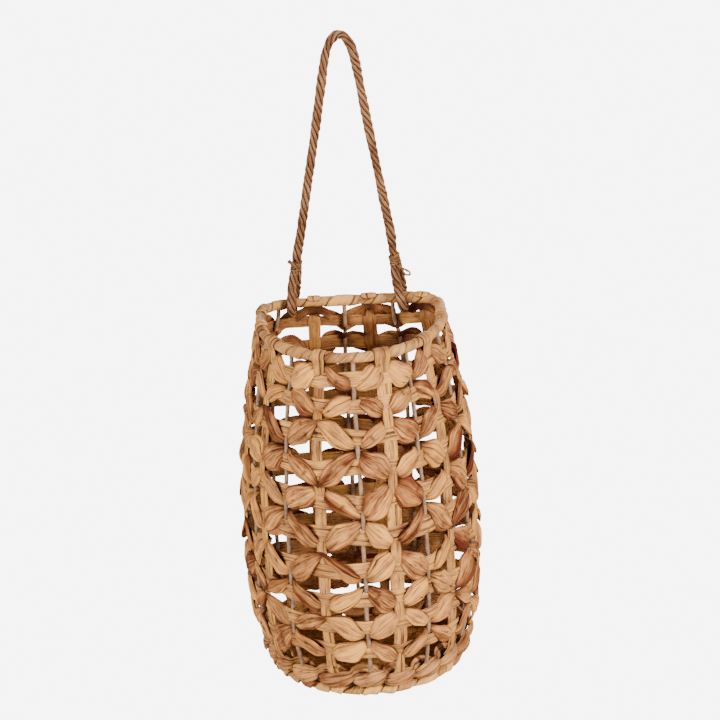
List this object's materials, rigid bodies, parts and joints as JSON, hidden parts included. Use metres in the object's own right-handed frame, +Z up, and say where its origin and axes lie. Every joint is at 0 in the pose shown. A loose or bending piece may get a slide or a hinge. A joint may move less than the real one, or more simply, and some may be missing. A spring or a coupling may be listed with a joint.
{
  "type": "hanging woven basket",
  "caption": "Tall open-weave wall basket of flat plant strips on a wire frame, with a D-shaped plan and a swinging rope handle on its back rim.",
  "frame": {"origin": "on the floor under the basket, in the middle of the basket's width and depth without the rope", "axes": "+X to the right seen from the bowed front, +Y towards the flat back that hangs against a wall, +Z up"},
  "size_m": [0.2378, 0.2125, 0.6332],
  "materials": {
    "hyacinth_band": "matte, fibrous dried plant strip",
    "hyacinth_binder": "matte, fibrous dried plant strip",
    "hyacinth_strip": "matte, fibrous dried plant strip",
    "hyacinth_wrapping": "satin, spiral-wrapped plant strip",
    "hyacinth_border": "matte, twisted plant strip",
    "hyacinth_floor": "matte, plain-woven plant strip",
    "frame_wire": "dull, brown-grey wire",
    "laid_rope": "rough, laid plant-fibre rope",
    "jute_twine": "rough twine"
  },
  "bodies": {
    "basket": {"upright_wire_00": "frame_wire", "upright_wire_02": "frame_wire", "upright_wire_04": "frame_wire", "upright_wire_06": "frame_wire", "upright_wire_08": "frame_wire", "upright_wire_10": "frame_wire", "upright_wire_12": "frame_wire", "upright_wire_14": "frame_wire", "upright_wire_16": "frame_wire", "upright_wire_18": "frame_wire", "upright_strip_01": "hyacinth_strip", "upright_strip_03": "hyacinth_strip", "upright_strip_05": "hyacinth_strip", "upright_strip_07": "hyacinth_strip", "upright_strip_09": "hyacinth_strip", "upright_strip_11": "hyacinth_strip", "upright_strip_13": "hyacinth_strip", "upright_strip_15": "hyacinth_strip", "upright_strip_17": "hyacinth_strip", "upright_strip_19": "hyacinth_strip", "band_01": "hyacinth_band", "band_02": "hyacinth_band", "band_03": "hyacinth_band", "band_04": "hyacinth_band", "band_05": "hyacinth_band", "band_06": "hyacinth_band", "band_07": "hyacinth_band", "band_08": "hyacinth_band", "band_09": "hyacinth_band", "band_10": "hyacinth_band", "binder_01": "hyacinth_binder", "binder_02": "hyacinth_binder", "binder_03": "hyacinth_binder", "binder_04": "hyacinth_binder", "binder_05": "hyacinth_binder", "binder_06": "hyacinth_binder", "binder_07": "hyacinth_binder", "binder_08": "hyacinth_binder", "binder_09": "hyacinth_binder", "binder_10": "hyacinth_binder", "rim_wire": "frame_wire", "base_wire": "frame_wire", "rim_wrap": "hyacinth_wrapping", "base_wrap": "hyacinth_wrapping", "border_strand_a": "hyacinth_border", "border_strand_b": "hyacinth_border", "floor_panel": "hyacinth_floor", "floor_spoke_long": "frame_wire", "floor_spoke_left": "frame_wire", "floor_spoke_right": "frame_wire"},
    "handle": {"rope_eye_left": "laid_rope", "rope_eye_right": "laid_rope", "whipping_left": "jute_twine", "whipping_right": "jute_twine", "rope_loop": "laid_rope"}
  },
  "joints": [
    {"name": "handle_swing", "type": "hinge", "parent": "basket", "child": "handle", "pos_m": [0, 0.0933, 0.356], "axis": [1, 0, 0], "range_deg": [-90, 85]}
  ]
}
